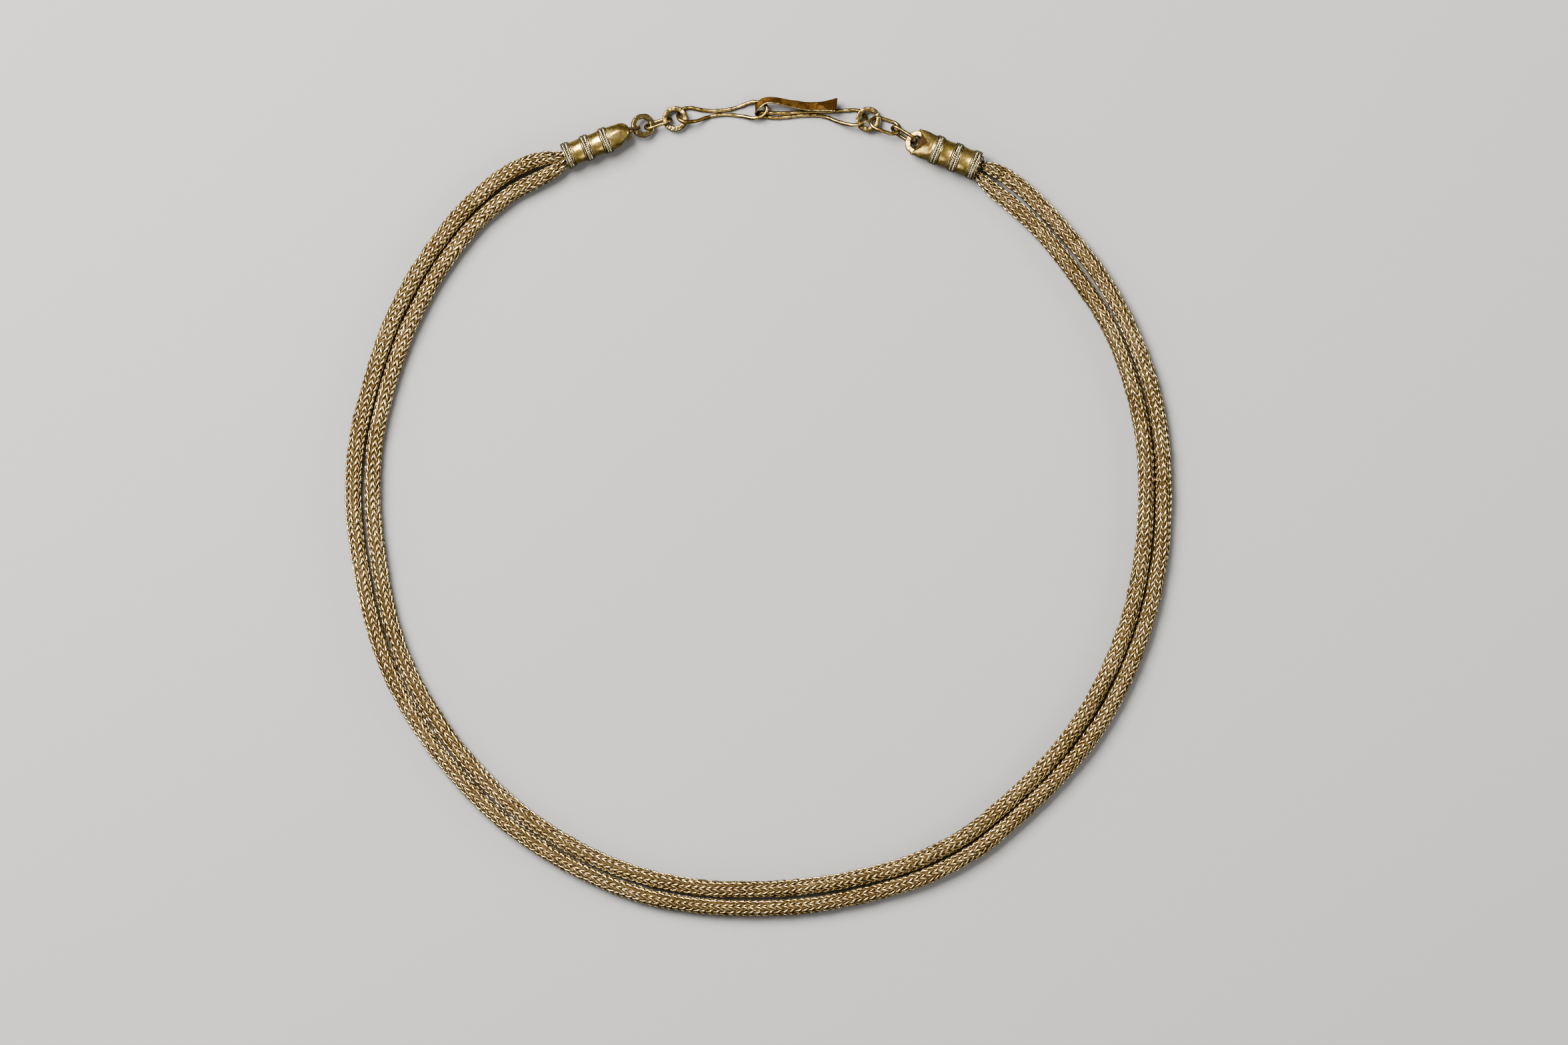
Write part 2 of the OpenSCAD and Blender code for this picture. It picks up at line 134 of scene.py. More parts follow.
def smooth(points: Array, steps: int, closed: bool = False) -> Array:
    """Runs a smooth curve through points.

    Args:
        points: one row for each point, of any width.
        steps: steps from each point to the next.
        closed: whether the curve returns to its first point.

    Returns:
        The curve's points, one row each.
    """
    points = np.asarray(points, float)
    ends = np.pad(points, ((1, 2 if closed else 1), (0, 0)), "wrap" if closed else "edge")[:, None]
    a, b, c, d = (ends[shift:len(ends) - 3 + shift] for shift in range(4))
    t = (np.arange(steps) / steps)[None, :, None]
    curve = 2 * b + (c - a) * t + (2 * a - 5 * b + 4 * c - d) * t**2 + (3 * b - a - 3 * c + d) * t**3
    curve = 0.5 * curve.reshape(-1, points.shape[1])
    return curve if closed else np.vstack([curve, points[-1]])


def directions(path: Array, closed: bool = False) -> Array:
    """Returns the unit direction of travel at each point of a path, which may be a loop."""
    ends = np.pad(path, ((1, 1), (0, 0)), "wrap" if closed else "edge")
    return unit(ends[2:] - ends[:-2])


def untwisted(path: Array, closed: bool = False) -> tuple[Array, Array]:
    """Finds side and up vectors that turn as little as they can along a path.

    Args:
        path: points, one row each.
        closed: whether the path is a loop, whose last frame has to meet its first.

    Returns:
        The side vectors and the up vectors.
    """
    travel = directions(path, closed)
    across = np.array([0, 0, 1.0]) if abs(travel[0][2]) < 0.9 else np.array([0, 1.0, 0])
    sides = np.zeros_like(path)
    side = unit(np.cross(across, travel[0]))
    for i, ahead in enumerate(travel):
        side = unit(side - side.dot(ahead) * ahead)
        sides[i] = side
    ups = np.cross(travel, sides)
    if closed:
        back = unit(side - side.dot(travel[0]) * travel[0])
        leftover = np.arctan2(back.dot(ups[0]), back.dot(sides[0]))
        turn = -leftover * np.arange(len(path))[:, None] / len(path)
        sides, ups = np.cos(turn) * sides + np.sin(turn) * ups, np.cos(turn) * ups - np.sin(turn) * sides
    return sides, ups


def facing_y(travel: Array) -> Array:
    """Returns side vectors along directions of travel, as near +Y as they can be."""
    return unit(np.array([0, 1.0, 0]) - travel[:, 1:2] * travel)


def drawn_along(path: Array, outline: Array, sides: Array, ups: Array) -> Array:
    """Returns an outline of (side, up) corners, or one for each point, drawn along a path."""
    return path[:, None] + outline[..., :1] * sides[:, None] + outline[..., 1:] * ups[:, None]


def circle(sides: int) -> Array:
    """Returns a circle of radius one as an outline with that many corners."""
    angle = 2 * np.pi * (np.arange(sides) + (0 if sides % 2 else 0.5)) / sides
    return np.stack([np.cos(angle), np.sin(angle)], -1)


def strip_outline(
    width: float | Array, thickness: float, corners: int = 12, powers: tuple[float, float] = (0.35, 0.6)
) -> Array:
    """Draws the outline of a flat strip with round edges.

    Args:
        width: the strip's width, or its width at each point of a path.
        thickness: its thickness.
        corners: how many corners the outline has.
        powers: how round its sides and its faces are, from 0 for square to 1 for round.

    Returns:
        The outline, or one for each width.
    """
    side, up = (np.sign(part) * np.abs(part) ** power for part, power in zip(circle(corners).T, powers))
    side = side * np.asarray(width, float)[..., None] / 2
    return np.stack([side, np.broadcast_to(up * thickness / 2, side.shape)], -1)


def beaten(points: Array, seed: int, *marks: tuple[float, float]) -> Array:
    """Finds how far hand work raised or sank each point, from smooth seeded waves.

    Args:
        points: places, the last axis for x, y and z.
        seed: number that the first marks are drawn from. Each further kind takes the next number.
        marks: height and usual length of the waves, for each kind of mark.

    Returns:
        The height at each point.
    """
    waves = 28
    height = np.zeros(points.shape[:-1])
    for kind, (size, length) in enumerate(marks):
        rng = np.random.default_rng(seed + kind)
        turns = unit(rng.normal(size=(waves, 3))) * 2 * np.pi / (length * rng.uniform(0.6, 1.7, (waves, 1)))
        phases = rng.uniform(0, 2 * np.pi, waves)
        height += size * (np.sin(points @ turns.T + phases).sum(-1) * np.sqrt(2 / waves))
    return height


class Shape:
    """Vertices and faces of one piece, gathered in millimetres, with the grime of each vertex.

    Grime goes from -1, rubbed bright, over 0, plain, to 1, soiled. It holds real wear and soil, and in
    places painted highlight and painted shade.
    """

    def __init__(self) -> None:
        """Starts an empty shape."""
        self.points: list[Array] = []
        self.grime_and_painted_light: list[Array] = []
        self.faces: list[list[int]] = []
        self.count = 0

    def grid(self, rows: Array, grime_and_painted_light: float | Array = 0.0, closed: bool = False) -> "Shape":
        """Adds a skin over equal rings of points, with an end face at both ends unless it is closed.

        Args:
            rows: ring, point on the ring, place.
            grime_and_painted_light: grime of all the points, of each ring as a column, or of each point.
            closed: whether the last ring joins the first.

        Returns:
            This shape.
        """
        rings, around = rows.shape[:2]
        i, k = np.meshgrid(np.arange(rings if closed else rings - 1), np.arange(around), indexing="ij")
        j, n = (i + 1) % rings, (k + 1) % around
        quads = np.stack([i * around + k, i * around + n, j * around + n, j * around + k], -1)
        ends = np.stack([np.arange(around)[::-1], np.arange(around) + (rings - 1) * around])
        for faces in [quads.reshape(-1, 4)] if closed else [quads.reshape(-1, 4), ends]:
            self.faces += (faces + self.count).tolist()
        self.points.append(rows.reshape(-1, 3))
        self.grime_and_painted_light.append(np.broadcast_to(grime_and_painted_light, rows.shape[:2]).ravel())
        self.count += rings * around
        return self

    def wire(
        self, path: Array, thickness: float, sides: int, closed: bool = False, dents: Triple | None = None,
        grime_and_painted_light: float = 0.0,
    ) -> "Shape":
        """Draws a round wire along a path.

        Args:
            path: points, one row each.
            thickness: the wire's diameter.
            sides: sides of the wire.
            closed: whether the path is a loop.
            dents: seed, depth and usual length of its dents, or None for a plain wire.
            grime_and_painted_light: grime of the wire.

        Returns:
            This shape.
        """
        rows = drawn_along(path, circle(sides) * thickness / 2, *untwisted(path, closed))
        if dents:
            depth = beaten(rows, dents[0], dents[1:])[..., None]
            rows = rows + (rows - path[:, None]) / (thickness / 2) * depth
        return self.grid(rows, grime_and_painted_light, closed)

    def place(self, move: "Placement") -> "Shape":
        """Moves all that was added so far, and returns this shape."""
        self.points = [move.out(points) for points in self.points]
        return self


@dataclass(frozen=True)
class Placement:
    """A place and a turn in degrees, about X, then Y and then Z."""

    at: Triple = (0, 0, 0)
    turn: Triple = (0, 0, 0)

    def out(self, points: Array) -> Array:
        """Returns the piece's own points as points of the necklace."""
        matrix = np.array(Euler(np.radians(self.turn), "XYZ").to_matrix())
        return points @ matrix.T + np.array(self.at)


def linear(hex_colour: str) -> tuple[float, ...]:
    """Returns an sRGB hex colour as linear red, green, blue and alpha."""
    channels = (int(hex_colour[i:i + 2], 16) / 255 for i in (1, 3, 5))
    return (*(c / 12.92 if c <= 0.04045 else ((c + 0.055) / 1.055) ** 2.4 for c in channels), 1.0)


def add_node(
    tree: bpy.types.NodeTree, kind: str, inputs: dict | None = None, out: int | str = 0, **settings: object
) -> bpy.types.NodeSocket | None:
    """Adds a node to a tree.

    Args:
        tree: the tree.
        kind: the node's type, after the word ShaderNode.
        inputs: value or output socket for each input, by its name or number.
        out: the output that is wanted, by its name or number.
        settings: the node's own settings.

    Returns:
        That output's socket, or None for a node without outputs.
    """
    node = tree.nodes.new(f"ShaderNode{kind}")
    for name, value in settings.items():
        setattr(node, name, value)
    for key, value in (inputs or {}).items():
        if isinstance(value, bpy.types.NodeSocket):
            tree.links.new(value, node.inputs[key])
        else:
            node.inputs[key].default_value = value
    return node.outputs[out] if node.outputs else None


@dataclass(frozen=True)
class GoldFinish:
    """Old worked gold: a metal colour, a paler worn one that also paints highlights, soil in the recesses
    that also paints shade, and brown deposits.

    grain is the size of the tool marks and scratches, cloud the size of the tarnish's patches, bump
    how strongly the tool marks stand out, and crust how much of the surface carries the deposit.
    """

    name: str
    metal: str
    worn_and_highlight: str
    soil_and_shade: str
    deposit: str
    roughness: float
    grain: float
    cloud: float
    bump: float
    crust: float

    # Size of the deposit's crumbs, as a share of the tarnish's patches
    CRUMB = 2.6
    # Depth of the tool marks, as a share of their size
    MARK_DEPTH = 0.25
    # How much rougher soil and deposits are than bare metal
    DULLING = 0.34

    def material(self) -> bpy.types.Material:
        """Makes the finish's material on its first use.

        Returns:
            The material.
        """
        made = bpy.data.materials.get(self.name)
        if made:
            return made
        material = bpy.data.materials.new(self.name)
        material.use_nodes = True
        tree = material.node_tree
        tree.nodes.clear()
        place = add_node(tree, "TexCoord", out="Object")
        sizes = ((self.cloud, 4.0, 0.6), (self.grain, 3.0, 0.55), (self.cloud * self.CRUMB, 5.0, 0.7))
        clouds, grain, crumbs = (
            add_node(tree, "TexNoise", {
                "Vector": place, "Scale": 1 / (size * MM), "Detail": detail, "Roughness": fineness,
            }, "Fac")
            for size, detail, fineness in sizes
        )
        # Rubbing wears the metal pale and takes the deposit off; the same pale colour paints highlights
        # where the shapes ask for it
        grime_and_painted_light = add_node(tree, "Attribute", out="Fac", attribute_name="grime_and_painted_light")
        rubbed_and_highlit = add_node(tree, "MapRange", {"Value": grime_and_painted_light, "From Min": 0.0, "From Max": -0.6})
        # Soil holds on where the tool marks catch it
        speckle = add_node(tree, "Math", {0: grain, 1: 0.9, 2: -0.45}, operation="MULTIPLY_ADD")
        caught = add_node(tree, "Math", {0: grime_and_painted_light, 1: speckle}, operation="ADD")
        # Tarnish, deposit and soil, the soil also painting shade: what drives each, where it starts and is
        # full, and how strong it gets
        steps = (
            (clouds, 0.38, 0.62, 0.35), (crumbs, 0.72 - self.crust, 0.8 - self.crust, 0.75),
            (caught, 0.12, 0.85, 1.0),
        )
        patches, crusted, soiled_and_shaded = (
            add_node(tree, "MapRange", {
                "Value": value, "From Min": low, "From Max": high, "To Max": most,
            }, interpolation_type="SMOOTHSTEP")
            for value, low, high, most in steps
        )
        bright = add_node(tree, "Math", {0: patches, 1: rubbed_and_highlit}, operation="MAXIMUM")
        crust = add_node(tree, "Math", {0: crusted, 1: rubbed_and_highlit}, operation="SUBTRACT", use_clamp=True)
        colour = linear(self.metal)
        for share, over in ((bright, self.worn_and_highlight), (crust, self.deposit), (soiled_and_shaded, self.soil_and_shade)):
            colour = add_node(tree, "Mix", {0: share, 6: colour, 7: linear(over)}, 2, data_type="RGBA")
        dull = add_node(tree, "Math", {0: soiled_and_shaded, 1: crust}, operation="MAXIMUM")
        polish = add_node(tree, "MapRange", {
            "Value": grain, "From Min": 0.3, "From Max": 0.7,
            "To Min": self.roughness - 0.08, "To Max": self.roughness + 0.1,
        })
        shader = add_node(tree, "BsdfPrincipled", {
            "Base Color": colour,
            "Metallic": add_node(tree, "MapRange", {"Value": soiled_and_shaded, "To Min": 0.94, "To Max": 0.15}),
            "Roughness": add_node(tree, "Math", {
                0: dull, 1: self.DULLING, 2: polish,
            }, operation="MULTIPLY_ADD", use_clamp=True),
            "Normal": add_node(tree, "Bump", {
                "Height": grain, "Strength": self.bump, "Distance": self.grain * self.MARK_DEPTH * MM,
            }),
        })
        add_node(tree, "OutputMaterial", {"Surface": shader})
        return material


# High-carat gold wire, drawn and woven: crests rubbed pale, which is also a painted highlight, and brown
# soil between the loops, which is also painted shade there
WOVEN_WIRE = GoldFinish(
    "woven_gold_wire", "#978056", "#D0BF96", "#584226", "#744A26",
    roughness=0.24, grain=0.35, cloud=7.0, bump=0.1, crust=0.1,
)
# Gold sheet, raised and burnished: a soft broad shine with brown tarnish, and dark soil that also paints
# the shade beside the bands and on the lower sides
CAP_SHEET = GoldFinish(
    "burnished_gold_sheet", "#B0985C", "#D0BE88", "#2A190A", "#744A24",
    roughness=0.27, grain=0.6, cloud=4.0, bump=0.08, crust=0.11,
)
# Twisted gold wire: pale rubbed crests, also a painted highlight, and dark soil packed in its grooves, also
# their painted shade
CAP_BRAID = GoldFinish(
    "twisted_gold_wire", "#A89C78", "#E6DCC0", "#150F07", "#5E4226",
    roughness=0.22, grain=0.2, cloud=3.0, bump=0.1, crust=0.06,
)
# Hammered gold strip: dull and greyish, with small bright hammer marks
RING_STRIP = GoldFinish(
    "hammered_gold_strip", "#76643E", "#988864", "#2E200E", "#6A4A2A",
    roughness=0.32, grain=0.3, cloud=2.2, bump=0.35, crust=0.12,
)
# Drawn gold wire, hammered and pitted: it glitters unevenly between brown spots
CLASP_WIRE = GoldFinish(
    "hammered_gold_wire", "#8A7444", "#C6B286", "#1C1208", "#70482A",
    roughness=0.27, grain=0.45, cloud=2.4, bump=0.35, crust=0.16,
)
# Torn sheet and the hook's strap: a rough brown crust that hides most of the gold; on the strap's flat face
# its dark colour also paints the dark reflection that the face shows
CRUSTED_SHEET = GoldFinish(
    "crusted_gold_sheet", "#5C4524", "#7A6138", "#36220C", "#50371E",
    roughness=0.6, grain=0.3, cloud=1.8, bump=0.4, crust=0.24,
)
# Silver wire that has gone grey, the only cold colour of the piece
SILVER_WIRE = GoldFinish(
    "grey_silver_wire", "#B9B9B0", "#D0D0C8", "#3A3A34", "#6A6252",
    roughness=0.3, grain=0.3, cloud=2.0, bump=0.15, crust=0.04,
)


@dataclass
class Piece:
    """A part of the necklace that stands for one CAD node, in its place."""

    node: str
    place: Placement

    # The record's slot that the part belongs to. The script doesn't read it; put is given each finish
    SLOT = "wire_gold"

    def put(self, part: str, shape: Shape, finish: GoldFinish) -> None:
        """Makes a shape an object that rides on the necklace's body.

        Args:
            part: the part's name, after the node's.
            shape: its shape, which is moved into place.
            finish: its finish.
        """
        name = f"{self.node}_{part}"
        mesh = bpy.data.meshes.new(name)
        points = np.concatenate(shape.place(self.place).points) * MM
        mesh.from_pydata(points.tolist(), [], shape.faces)
        soil_and_shade = mesh.attributes.new("grime_and_painted_light", "FLOAT", "POINT")
        soil_and_shade.data.foreach_set("value", np.concatenate(shape.grime_and_painted_light).astype(np.float32))
        mesh.shade_smooth()
        mesh.materials.append(finish.material())
        piece = bpy.data.objects.new(name, mesh)
        bpy.context.scene.collection.objects.link(piece)
        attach(piece, "root")
        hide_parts(self.node)
        log.info("%s: %d triangles", name, sum(len(face) - 2 for face in shape.faces))


@dataclass
class WovenChain(Piece):
    """A loop-in-loop chain: columns of hairpin loops, each coming out of the one before.

    radius_at is the place of the chain's radius in a row of ROUTE, pitch the distance from one loop to
    the next along a column, column_r the radius that the loops' middles lie at, and core_r that of the
    packed middle.
    """

    radius_at: int
    pitch: float
    seed: int
    width: float = 2.7
    wire: float = 0.28
    wire_sides: int = 6
    columns: int = 6
    column_r: float = 1.14
    core_r: float = 1.02
    core_sides: int = 10

    SLOT = "woven_gold"
    # One leg of a loop: along the chain in pitches, across and outwards in millimetres, and its grime.
    # It comes up from inside, crosses the loop before, and spreads to its round end, which lies low.
    # The last column paints shade where a leg dives in and along its low second half, and a pale painted
    # highlight on its raised first half
    LEG = (
        (-0.52, 0.1, -0.34, 0.7), (-0.24, 0.115, -0.1, 0.5), (0.05, 0.13, 0.04, 0.1),
        (0.34, 0.23, 0.13, -0.45), (0.66, 0.38, 0.11, -0.3), (0.96, 0.52, -0.04, 0.4),
        (1.26, 0.54, -0.14, 0.6), (1.48, 0.22, -0.18, 0.7),
    )
    # The worn wire's width and height, as shares of its thickness
    FLATTENED = (1.12, 0.9)
    # Share of full girth below which every second column has ended
    THINNED_BELOW = 0.6
    # Slow twist of the columns about the axis: how many waves, size in radians and range of lengths
    TWIST_WAVES, TWIST_SIZE, TWIST_LENGTHS = 5, 0.17, (45, 160)
    # Slow change in how far the loops slant: size, and distance for one radian of it
    SLANT_SIZE, SLANT_LENGTH = 0.25, 9.0
    # How much loops differ in width, place across, and width along their length
    WIDTH_SPREAD, ACROSS_SPREAD, FAN_SPREAD = 0.06, 0.02, 0.03
    # How much they differ in height, roll and pitch
    HEIGHT_SPREAD, ROLL_SPREAD, PITCH_SPREAD = 0.018, 0.08, 0.03
    # How much they differ in length, place along, slant and grime
    LENGTH_SPREAD, ALONG_SPREAD, SLANT_SPREAD, GRIME_SPREAD = 0.04, 0.035, 0.12, 0.12

    def __post_init__(self) -> None:
        """Works out the chain's axis in small steps, and draws the slow twist of its columns."""
        bearing, radius, lift, girth = np.array(ROUTE, float)[:, [0, self.radius_at, 3, 4]].T
        x = LOOP_CENTRE[0] + radius * np.sin(np.radians(bearing))
        y = LOOP_CENTRE[1] + radius * np.cos(np.radians(bearing))
        curve = smooth(np.stack([x, y, self.width / 2 + lift, girth], -1), 16)
        self.axis, self.girth = curve[:, :3], curve[:, 3:]
        steps = np.linalg.norm(np.diff(self.axis, axis=0), axis=1)
        self.run = np.concatenate([[0], np.cumsum(steps)])
        travel = directions(self.axis)
        self.outward = unit(np.cross([0, 0, 1.0], travel))
        self.upward = np.cross(travel, self.outward)
        rng = np.random.default_rng(self.seed)
        self.twist_lengths = rng.uniform(*self.TWIST_LENGTHS, self.TWIST_WAVES)
        self.twist_phases = rng.uniform(0, 2 * np.pi, self.TWIST_WAVES)

    def on_axis(self, values: Array, run: Array) -> Array:
        """Returns a quantity of the axis, given in columns, at distances along it."""
        return np.stack([np.interp(run, self.run, part) for part in values.T], -1)

    def surface(self, run: Array, angle: Array, height: Array) -> Array:
        """Finds places round the chain.

        Args:
            run: distance of each along the axis.
            angle: angle about the axis.
            height: height over the loops' middles.

        Returns:
            The places.
        """
        radius = np.maximum(self.column_r * self.on_axis(self.girth, run) + height[..., None], 0.03)
        side = np.cos(angle)[..., None] * self.on_axis(self.outward, run)
        up = np.sin(angle)[..., None] * self.on_axis(self.upward, run)
        return self.on_axis(self.axis, run) + radius * (side + up)

    def loops(self, first: float, last: float) -> tuple[Array, Array]:
        """Bends copies of one loop onto the chain. They grow towards its start.

        Args:
            first: distance along the chain where they start.
            last: distance where they end.

        Returns:
            The loops' points, as loop, ring, corner and place, and the grime of each.
        """
        rng = np.random.default_rng(self.seed + int(first))
        count = int((last - first) / self.pitch)
        row, column = np.meshgrid(np.arange(count), np.arange(self.columns), indexing="ij")
        base = (first + self.pitch * (row + 0.5 - (column % 3) / 3)).ravel()
        column = column.ravel()
        kept = (self.on_axis(self.girth, base)[:, 0] > self.THINNED_BELOW) | (column % 2 == 0)
        base, column = (part[kept][:, None, None] for part in (base, column))

        def drawn(spread: float) -> Array:
            """Returns a small draw for each loop."""
            return rng.normal(0, spread, base.shape)

        leg = np.array(self.LEG)
        half = leg[:, :3] * (self.pitch, 1, 1)
        path = np.vstack([half, half[::-1] * (1, -1, 1)])
        ring = circle(self.wire_sides)[:, ::-1] * self.wire / 2 * self.FLATTENED
        along, across, out = np.moveaxis(drawn_along(path, ring, *untwisted(path)), -1, 0)[:, None]
        leg_side = np.sign(across)
        slant = self.SLANT_SIZE * np.sin(base / self.SLANT_LENGTH + self.seed)
        across = across * (1 + drawn(self.WIDTH_SPREAD) + leg_side * drawn(self.WIDTH_SPREAD))
        across = across + drawn(self.ACROSS_SPREAD) + along * drawn(self.FAN_SPREAD)
        out = out + drawn(self.HEIGHT_SPREAD) + across * drawn(self.ROLL_SPREAD)
        out = out + along * drawn(self.PITCH_SPREAD)
        along = along * (1 + drawn(self.LENGTH_SPREAD)) + drawn(self.ALONG_SPREAD)
        along = along + across * (slant + drawn(self.SLANT_SPREAD))
        run = base - along
        radius = self.column_r * np.clip(self.on_axis(self.girth, run)[..., 0], 0.45, 1)
        waves = zip(self.twist_lengths, self.twist_phases)
        twist = sum(self.TWIST_SIZE * np.sin(2 * np.pi * run / length + phase) for length, phase in waves)
        middle = (column + 0.5) * 2 * np.pi / self.columns + twist
        soil_and_shade = np.concatenate([leg[:, 3], leg[::-1, 3]])[:, None]
        grime_and_painted_light = np.clip(soil_and_shade + drawn(self.GRIME_SPREAD), -1, 1)
        return self.surface(run, middle + across / radius, out), grime_and_painted_light

    def build(self) -> None:
        """Makes the chain as two lengths that meet halfway round."""
        end = self.run[-1]
        half = self.pitch * round(end / 2 / self.pitch)
        for name, first, last in (("right", 0.0, half), ("left", half, end + self.pitch)):
            shape = Shape()
            for points, grime_and_painted_light in zip(*self.loops(first, last)):
                shape.grid(points, grime_and_painted_light)
            # The packed middle, where the loops cross, soiled dark: painted shade for the deep inside of
            # the weave, darker still where the chain is drawn in
            run = np.arange(first, min(last, end), self.pitch / 2)[:, None]
            drawn_in = 1 - self.on_axis(self.girth, run)[..., 0]
            height = self.core_r - self.column_r - 0.6 * drawn_in
            rings = self.surface(run, turn_steps(self.core_sides)[None], height)
            shape.grid(rings, 0.6 + 1.2 * np.clip(drawn_in, 0, 0.4))
            self.put(f"{name}_weave", shape, WOVEN_WIRE)


class Braid(Enum):
    """Which way the chevrons of a braided band point, across the cap."""

    TO_PLUS_Y = 1
    TO_MINUS_Y = -1


@dataclass
class BandedCap(Piece):
    """An end cap: sheet fields with rolled lips between bands of twisted wire.

    band_r is the radius over the bands, waist_r that of the sheet between them, and nose_gap the
    distance from the last band's middle to the nose.
    """

    band_r: float
    waist_r: float
    braids: tuple[Braid, Braid, Braid]
    seed: int
    sheet_t: float = 0.3
    band_pitch: float = 3.3
    first_band_x: float = 0.65
    nose_gap: float = 0.8
    field_half: float = 0.92
    lip_rise: float = 0.08
    groove: float = 0.02
    rope_d: float = 0.44
    rope_turns: int = 18
    edge_wire_d: float = 0.2
    edge_wire_gap: float = 0.12
    edge_wire_drop: float = 0.05

    SLOT = "cap_gold"
    # Steps round the sheet and round an edge wire, and along a twisted wire for each of its turns
    AROUND, HOOP_STEPS, TWIST_STEPS = 80, 96, 9

    def nose_start(self) -> float:
        """Returns where the nose starts, along the cap."""
        return self.first_band_x + 2 * self.band_pitch + self.nose_gap

    def sheet(self, nose: list[Triple], bottom: list[Triple]) -> None:
        """Makes the cap's body: its hollow, its fields with their rolled lips and its nose, all uneven.

        Args:
            nose: the nose's outside, from its foot to its tip, as distance along, radius and grime.
            bottom: the hollow's deep end, from its middle to its wall, in the same way.
        """
        waist, sunk, inner_r = self.waist_r, self.waist_r - self.groove, self.waist_r - self.sheet_t
        hollow = [*bottom, (1.2, inner_r, 1.0), (0.1, inner_r, 0.8)]
        rows = [*hollow, (0.05, waist, 0.7), (0.3, waist, 0.9), (1.2, waist, 1.0)]
        # The sheet beside each band and the ends of the lips are soiled dark: painted shade in the creases
        # beside the bands
        for field in (0.5, 1.5):
            middle = self.first_band_x + field * self.band_pitch
            rows.append((middle - self.field_half - 0.1, sunk, 1.0))
            for s in np.linspace(-1, 1, 13):
                soil_and_shade = 0.6 * ease(abs(s), 0.75, 1.0)
                rows.append((middle + s * self.field_half, waist + self.lip_rise * s * s, soil_and_shade))
            rows.append((middle + self.field_half + 0.1, sunk, 1.0))
        rows += [(7.68, sunk, 1.0), (7.95, waist + self.lip_rise, 0.3), *nose]
        x, radius, grime_and_painted_light = np.array(rows, float).T[..., None]
        points = around_x(x, radius, turn_steps(self.AROUND))
        outside = np.arange(len(points))[:, None] >= len(hollow)
        outward = points * (0, 1, 1)
        marks = beaten(points, self.seed, (0.012, 1.9), (0.004, 0.5)) * outside
        points = points + unit(outward) * marks[..., None]
        # The lower sides are soiled darker: painted shade, standing in for the dark that the gold's sides
        # mirror
        height = points[..., 2] / np.maximum(np.linalg.norm(outward, axis=-1), 0.01)
        painted_side_shade = 0.55 * ease(-height, -0.8, -0.15) * outside
        self.put("sheet", Shape().grid(self.bent(points), np.maximum(grime_and_painted_light, painted_side_shade)), CAP_SHEET)

    def bent(self, points: Array) -> Array:
        """Returns the body's points after its dents, and a cap without dents returns them as they are."""
        return points

    def bands(self) -> None:
        """Makes the three bands: two twisted wires, laid with opposite twists, between two fine wires."""
        shape = Shape()
        edge_r = self.band_r - self.edge_wire_drop - self.edge_wire_d / 2
        strand_r = self.rope_d / 4
        turn = turn_steps(self.rope_turns * self.TWIST_STEPS)
        for band, braid in enumerate(self.braids):
            for side in (-1, 1):
                middle = self.first_band_x + band * self.band_pitch
                for start in (0, np.pi):
                    twist = -side * braid.value * self.rope_turns * turn + start
                    twist = twist + 0.25 * np.sin(3 * turn + band)
                    x = middle + side * self.rope_d / 2 + strand_r * np.cos(twist)
                    out = self.band_r - self.rope_d / 2 + strand_r * np.sin(twist)
                    path = around_x(x, out, turn)
                    # The strands are drawn a little thick, so that they press into each other
                    rows = drawn_along(path, circle(6) * strand_r * 1.12, *untwisted(path, True))
                    # Strands are soiled by depth and rubbed on their crests: soil and wear, and also
                    # painted shade in the grooves and a painted highlight on the crests
                    depth = self.band_r - np.linalg.norm(rows[..., 1:], axis=-1)
                    shape.grid(rows, np.clip(depth * 2 / self.rope_d - 0.35, -0.3, 1), closed=True)
                x = middle + side * (self.rope_d + self.edge_wire_gap)
                hoop = around_x(x, edge_r, turn_steps(self.HOOP_STEPS))
                hoop[:, 0] += beaten(hoop, self.seed + band + side, (0.02, 1.2))
                shape.wire(hoop, self.edge_wire_d, 6, closed=True, grime_and_painted_light=0.1)
        self.put("bands", shape, CAP_BRAID)


